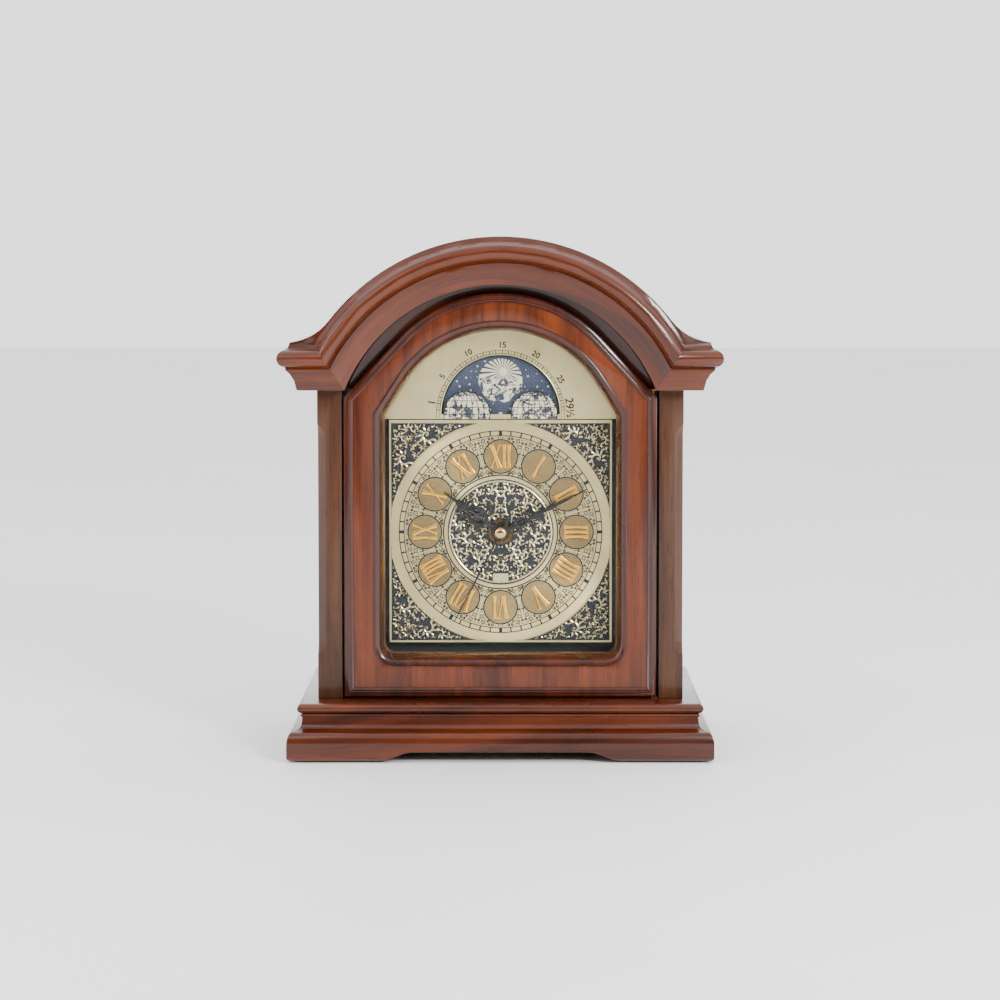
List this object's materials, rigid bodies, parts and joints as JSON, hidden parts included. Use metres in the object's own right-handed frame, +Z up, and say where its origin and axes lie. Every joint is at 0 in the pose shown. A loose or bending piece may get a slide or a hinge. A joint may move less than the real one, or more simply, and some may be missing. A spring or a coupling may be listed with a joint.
{
  "type": "mantel clock",
  "caption": "Break-arch wooden mantel clock with a glazed front door, a moon-phase dial, three hands and a battery movement behind a rear door.",
  "frame": {"origin": "middle of the footprint, on the surface the clock stands on", "axes": "+Z up; the dial faces -Y; +X to the right of a person who faces the dial"},
  "size_m": [0.254, 0.13, 0.3006],
  "materials": {
    "felt": "dark green wool felt",
    "base_wood": "glossy red-brown mahogany stain, grain along the mouldings",
    "pilaster_wood": "satin brown mahogany stain, upright grain",
    "case_wood": "glossy red-brown mahogany stain",
    "hood_wood": "glossy red-brown mahogany stain, grain along the mouldings",
    "plain_wood": "satin stained board",
    "door_wood": "glossy veneer with upright grain",
    "moulding_wood": "glossy dark red-brown moulding",
    "board_paint": "satin black-green paint",
    "brass": "polished brass",
    "steel": "bright steel",
    "catch_plastic": "brown-black plastic with a magnet inside",
    "dial_metal": "brushed pale gold plate",
    "ring_metal": "brushed cream-gold ring with black printing",
    "relief_metal": "gold relief over a dark ground",
    "hand_paint": "gloss black enamel",
    "moon_paint": "printed slate-blue sky with cream moons and stars",
    "door_glass": "clear flat glass",
    "movement_plastic": "black moulded plastic",
    "wheel_plastic": "natural white moulded plastic",
    "magnet": "dark sintered magnet",
    "circuit": "green circuit board",
    "coil_wire": "enamelled copper wire",
    "battery_sleeve": "plain printed sleeve, no lettering"
  },
  "bodies": {
    "case": {"felt_feet": "felt", "plinth_front": "base_wood", "plinth_sides": "base_wood", "plinth_back": "base_wood", "base_board": "base_wood", "pilaster_left": "pilaster_wood", "pilaster_right": "pilaster_wood", "side_panel_left": "case_wood", "side_panel_right": "case_wood", "hood_fascia": "case_wood", "hood_front_moulding": "hood_wood", "hood_return_left": "hood_wood", "hood_return_right": "hood_wood", "roof_panel": "case_wood", "back_frame": "plain_wood", "case_screws": "brass", "case_hinge_leaves": "brass", "door_catches": "catch_plastic", "dial_board": "board_paint", "dial_pillars": "brass", "dial_plate": "dial_metal", "moon_plate": "dial_metal", "chapter_ring": "ring_metal", "numerals": "relief_metal", "spandrels": "relief_metal", "centre_medallion": "relief_metal", "movement_front_shell": "movement_plastic", "movement_rear_cover": "movement_plastic", "centre_nut": "brass", "circuit_board": "circuit", "coil": "coil_wire", "stator": "steel", "battery_contacts": "steel"},
    "front_door": {"door_frame": "door_wood", "door_outer_moulding": "moulding_wood", "door_inner_moulding": "moulding_wood", "door_glass": "door_glass", "glass_retainer": "plain_wood", "door_hinge_leaves": "brass", "strike_plate": "steel"},
    "rear_door": {"rear_door": "plain_wood", "rear_hinge_leaves": "brass"},
    "hour": {"hour_wheel": "wheel_plastic", "hour_hand": "hand_paint"},
    "minute": {"cannon_pinion": "brass", "minute_hand": "hand_paint"},
    "second": {"seconds_wheel": "wheel_plastic", "second_hand": "hand_paint"},
    "minute_wheel": {"minute_wheel": "wheel_plastic"},
    "set_knob": {"set_knob": "movement_plastic"},
    "moon_idler_1": {"moon_idler_1": "wheel_plastic"},
    "moon_idler_2": {"moon_idler_2": "wheel_plastic"},
    "moon_idler_3": {"moon_idler_3": "wheel_plastic"},
    "moon": {"moon_wheel": "wheel_plastic", "moon_disc": "moon_paint"},
    "third_wheel": {"third_wheel": "wheel_plastic"},
    "centre_wheel": {"centre_wheel": "brass"},
    "intermediate": {"intermediate_wheel": "wheel_plastic"},
    "rotor": {"rotor": "magnet"},
    "battery": {"battery": "battery_sleeve"}
  },
  "joints": [
    {"name": "front_door_swing", "type": "hinge", "parent": "case", "child": "front_door", "pos_m": [0.0883, -0.0389, 0.12], "axis": [0, 0, 1], "range_deg": [0, 55]},
    {"name": "rear_door_swing", "type": "hinge", "parent": "case", "child": "rear_door", "pos_m": [0.0654, 0.0587, 0.12], "axis": [0, 0, -1], "range_deg": [0, 110]},
    {"name": "minute_hand_turn", "type": "hinge", "parent": "case", "child": "minute", "pos_m": [0, 0, 0.1276], "axis": [0, 1, 0], "continuous": true},
    {"name": "hour_hand_turn", "type": "hinge", "parent": "case", "child": "hour", "pos_m": [0, 0, 0.1276], "axis": [0, 1, 0], "continuous": true},
    {"name": "minute_wheel_turn", "type": "hinge", "parent": "case", "child": "minute_wheel", "pos_m": [0.00771, 0, 0.11841], "axis": [0, 1, 0], "continuous": true},
    {"name": "set_knob_turn", "type": "hinge", "parent": "case", "child": "set_knob", "pos_m": [0.01811, 0, 0.11241], "axis": [0, 1, 0], "continuous": true},
    {"name": "moon_idler_1_turn", "type": "hinge", "parent": "case", "child": "moon_idler_1", "pos_m": [-0.00232, 0, 0.13852], "axis": [0, 1, 0], "continuous": true},
    {"name": "moon_idler_2_turn", "type": "hinge", "parent": "case", "child": "moon_idler_2", "pos_m": [0, 0, 0.14943], "axis": [0, 1, 0], "continuous": true},
    {"name": "moon_idler_3_turn", "type": "hinge", "parent": "case", "child": "moon_idler_3", "pos_m": [0.00402, 0, 0.17107], "axis": [0, 1, 0], "continuous": true},
    {"name": "moon_disc_turn", "type": "hinge", "parent": "case", "child": "moon", "pos_m": [0, 0, 0.1968], "axis": [0, 1, 0], "continuous": true},
    {"name": "second_hand_turn", "type": "hinge", "parent": "case", "child": "second", "pos_m": [0, 0, 0.1276], "axis": [0, 1, 0], "continuous": true},
    {"name": "third_wheel_turn", "type": "hinge", "parent": "case", "child": "third_wheel", "pos_m": [-0.01377, 0, 0.1276], "axis": [0, 1, 0], "continuous": true},
    {"name": "centre_wheel_turn", "type": "hinge", "parent": "case", "child": "centre_wheel", "pos_m": [0, 0, 0.1276], "axis": [0, 1, 0], "continuous": true},
    {"name": "intermediate_turn", "type": "hinge", "parent": "case", "child": "intermediate", "pos_m": [0.0063, 0, 0.13851], "axis": [0, 1, 0], "continuous": true},
    {"name": "rotor_turn", "type": "hinge", "parent": "case", "child": "rotor", "pos_m": [0.0171, 0, 0.13851], "axis": [0, 1, 0], "continuous": true},
    {"name": "battery_slide", "type": "slide", "parent": "case", "child": "battery", "axis": [0, 1, 0], "range_m": [0, 0.03]}
  ],
  "couplings": [
    {"joint": "minute_wheel_turn", "follows": "minute_hand_turn", "ratio": -0.33333},
    {"joint": "hour_hand_turn", "follows": "minute_hand_turn", "ratio": 0.083333},
    {"joint": "set_knob_turn", "follows": "minute_hand_turn", "ratio": 1},
    {"joint": "moon_idler_1_turn", "follows": "minute_hand_turn", "ratio": -0.041667},
    {"joint": "moon_idler_2_turn", "follows": "minute_hand_turn", "ratio": 0.020833},
    {"joint": "moon_idler_3_turn", "follows": "minute_hand_turn", "ratio": -0.0042373},
    {"joint": "moon_disc_turn", "follows": "minute_hand_turn", "ratio": 0.00070621},
    {"joint": "third_wheel_turn", "follows": "second_hand_turn", "ratio": -0.13333},
    {"joint": "centre_wheel_turn", "follows": "second_hand_turn", "ratio": 0.016667},
    {"joint": "intermediate_turn", "follows": "second_hand_turn", "ratio": -6},
    {"joint": "rotor_turn", "follows": "second_hand_turn", "ratio": 30}
  ]
}
